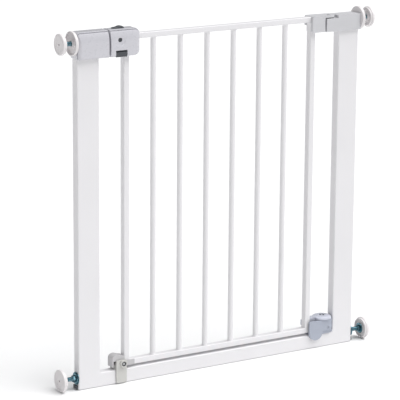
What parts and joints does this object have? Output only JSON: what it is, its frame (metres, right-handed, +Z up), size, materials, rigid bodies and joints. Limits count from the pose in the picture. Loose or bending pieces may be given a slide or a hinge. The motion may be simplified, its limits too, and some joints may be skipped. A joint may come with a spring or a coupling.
{
  "type": "safety gate",
  "caption": "Pressure-fit doorway gate with a self-closing barred door, sliding latch at one top corner and screw-out wall cups.",
  "frame": {"origin": "middle of the gate's footprint on the floor", "axes": "+X along the gate to the hinge side, +Y to the back, +Z up"},
  "size_m": [0.786, 0.0514, 0.7731],
  "materials": {
    "white_enamel": "satin powder coat",
    "grey_shell": "fine satin",
    "hinge_grey": "satin blue-grey",
    "catch_grey": "satin warm grey",
    "dark_grip": "matt charcoal",
    "zinc": "bright zinc, bluish",
    "steel": "plain steel",
    "white_plastic": "satin"
  },
  "bodies": {
    "frame": {"left_post": "white_enamel", "right_post": "white_enamel", "bottom_rail": "white_enamel", "foot_plug_left": "dark_grip", "foot_plug_right": "dark_grip", "washer_lower_left": "zinc", "washer_lower_right": "zinc", "bushing_upper_left": "zinc", "bushing_upper_right": "zinc", "bushing_lower_left": "zinc", "bushing_lower_right": "zinc", "keeper_front": "grey_shell", "keeper_rear": "grey_shell", "strike_plate": "steel", "keeper_screw_1": "steel", "keeper_screw_2": "steel", "hinge_bracket": "grey_shell", "hinge_pin": "steel", "hinge_saddle": "hinge_grey", "saddle_cap": "hinge_grey", "hinge_shaft": "steel", "closer_spring": "steel", "catch_saddle": "catch_grey", "catch_screw": "dark_grip"},
    "door": {"door_top_rail": "white_enamel", "door_bottom_rail": "white_enamel", "latch_stile": "white_enamel", "hinge_stile": "white_enamel", "bar_1": "white_enamel", "bar_2": "white_enamel", "bar_3": "white_enamel", "bar_4": "white_enamel", "bar_5": "white_enamel", "bar_6": "white_enamel", "handle_front": "grey_shell", "handle_rear": "grey_shell", "handle_screw": "dark_grip", "bolt_guide": "steel", "hinge_arm": "grey_shell", "hinge_dome": "hinge_grey", "dome_screw": "zinc", "door_shoe": "catch_grey", "bolt_spring": "steel", "trigger_spring": "steel"},
    "thumb_slider": {"thumb_slider": "dark_grip"},
    "latch_bolt": {"latch_bolt": "steel"},
    "trigger": {"trigger": "dark_grip"},
    "spindle_upper_left": {"spindle_upper_left": "zinc", "wall_cup_upper_left": "white_plastic"},
    "spindle_upper_right": {"spindle_upper_right": "zinc", "wall_cup_upper_right": "white_plastic"},
    "spindle_lower_left": {"spindle_lower_left": "zinc", "wall_cup_lower_left": "white_plastic"},
    "spindle_lower_right": {"spindle_lower_right": "zinc", "wall_cup_lower_right": "white_plastic"},
    "hand_wheel_left": {"hand_wheel_left": "white_plastic"},
    "hand_wheel_right": {"hand_wheel_right": "white_plastic"},
    "clamp_nut_left": {"clamp_nut_left": "zinc"},
    "clamp_nut_right": {"clamp_nut_right": "zinc"}
  },
  "joints": [
    {"name": "door_swing", "type": "hinge", "parent": "frame", "child": "door", "pos_m": [0.277, 0, 0.4], "axis": [0, 0, -1], "range_deg": [0, 90], "stiffness_Nm_per_rad": 0.35, "springref_deg": -34.38},
    {"name": "slider_slide", "type": "slide", "parent": "door", "child": "thumb_slider", "axis": [1, 0, 0], "range_m": [0, 0.009], "stiffness_N_per_m": 150, "springref_m": -0.004},
    {"name": "bolt_slide", "type": "slide", "parent": "door", "child": "latch_bolt", "axis": [1, 0, 0], "range_m": [0, 0.009], "stiffness_N_per_m": 150, "springref_m": -0.004, "deforming": ["bolt_spring"]},
    {"name": "trigger_press", "type": "slide", "parent": "door", "child": "trigger", "axis": [0, 0, 1], "range_m": [0, 0.004], "stiffness_N_per_m": 300, "springref_m": -0.003, "deforming": ["trigger_spring"]},
    {"name": "spindle_upper_left_slide", "type": "slide", "parent": "frame", "child": "spindle_upper_left", "axis": [-1, 0, 0], "range_m": [-0.008, 0.02]},
    {"name": "spindle_lower_left_slide", "type": "slide", "parent": "frame", "child": "spindle_lower_left", "axis": [-1, 0, 0], "range_m": [-0.008, 0.02]},
    {"name": "spindle_upper_right_slide", "type": "slide", "parent": "frame", "child": "spindle_upper_right", "axis": [1, 0, 0], "range_m": [-0.008, 0.02]},
    {"name": "spindle_lower_right_slide", "type": "slide", "parent": "frame", "child": "spindle_lower_right", "axis": [1, 0, 0], "range_m": [-0.008, 0.02]},
    {"name": "hand_wheel_left_turn", "type": "hinge", "parent": "frame", "child": "hand_wheel_left", "pos_m": [-0.359, 0, 0.744], "axis": [-1, 0, 0], "range_deg": [-1152, 2880]},
    {"name": "hand_wheel_right_turn", "type": "hinge", "parent": "frame", "child": "hand_wheel_right", "pos_m": [0.359, 0, 0.744], "axis": [1, 0, 0], "range_deg": [-1152, 2880]},
    {"name": "clamp_nut_left_turn", "type": "hinge", "parent": "frame", "child": "clamp_nut_left", "pos_m": [-0.358, 0, 0.0245], "axis": [-1, 0, 0], "range_deg": [-1152, 2880]},
    {"name": "clamp_nut_right_turn", "type": "hinge", "parent": "spindle_lower_right", "child": "clamp_nut_right", "pos_m": [0.38, 0, 0.0245], "axis": [1, 0, 0], "continuous": true}
  ],
  "couplings": [
    {"joint": "slider_slide", "follows": "bolt_slide", "ratio": 1},
    {"joint": "hand_wheel_left_turn", "follows": "spindle_upper_left_slide", "rad_per_m": 2513.3},
    {"joint": "hand_wheel_right_turn", "follows": "spindle_upper_right_slide", "rad_per_m": 2513.3},
    {"joint": "clamp_nut_left_turn", "follows": "spindle_lower_left_slide", "rad_per_m": 2513.3}
  ]
}
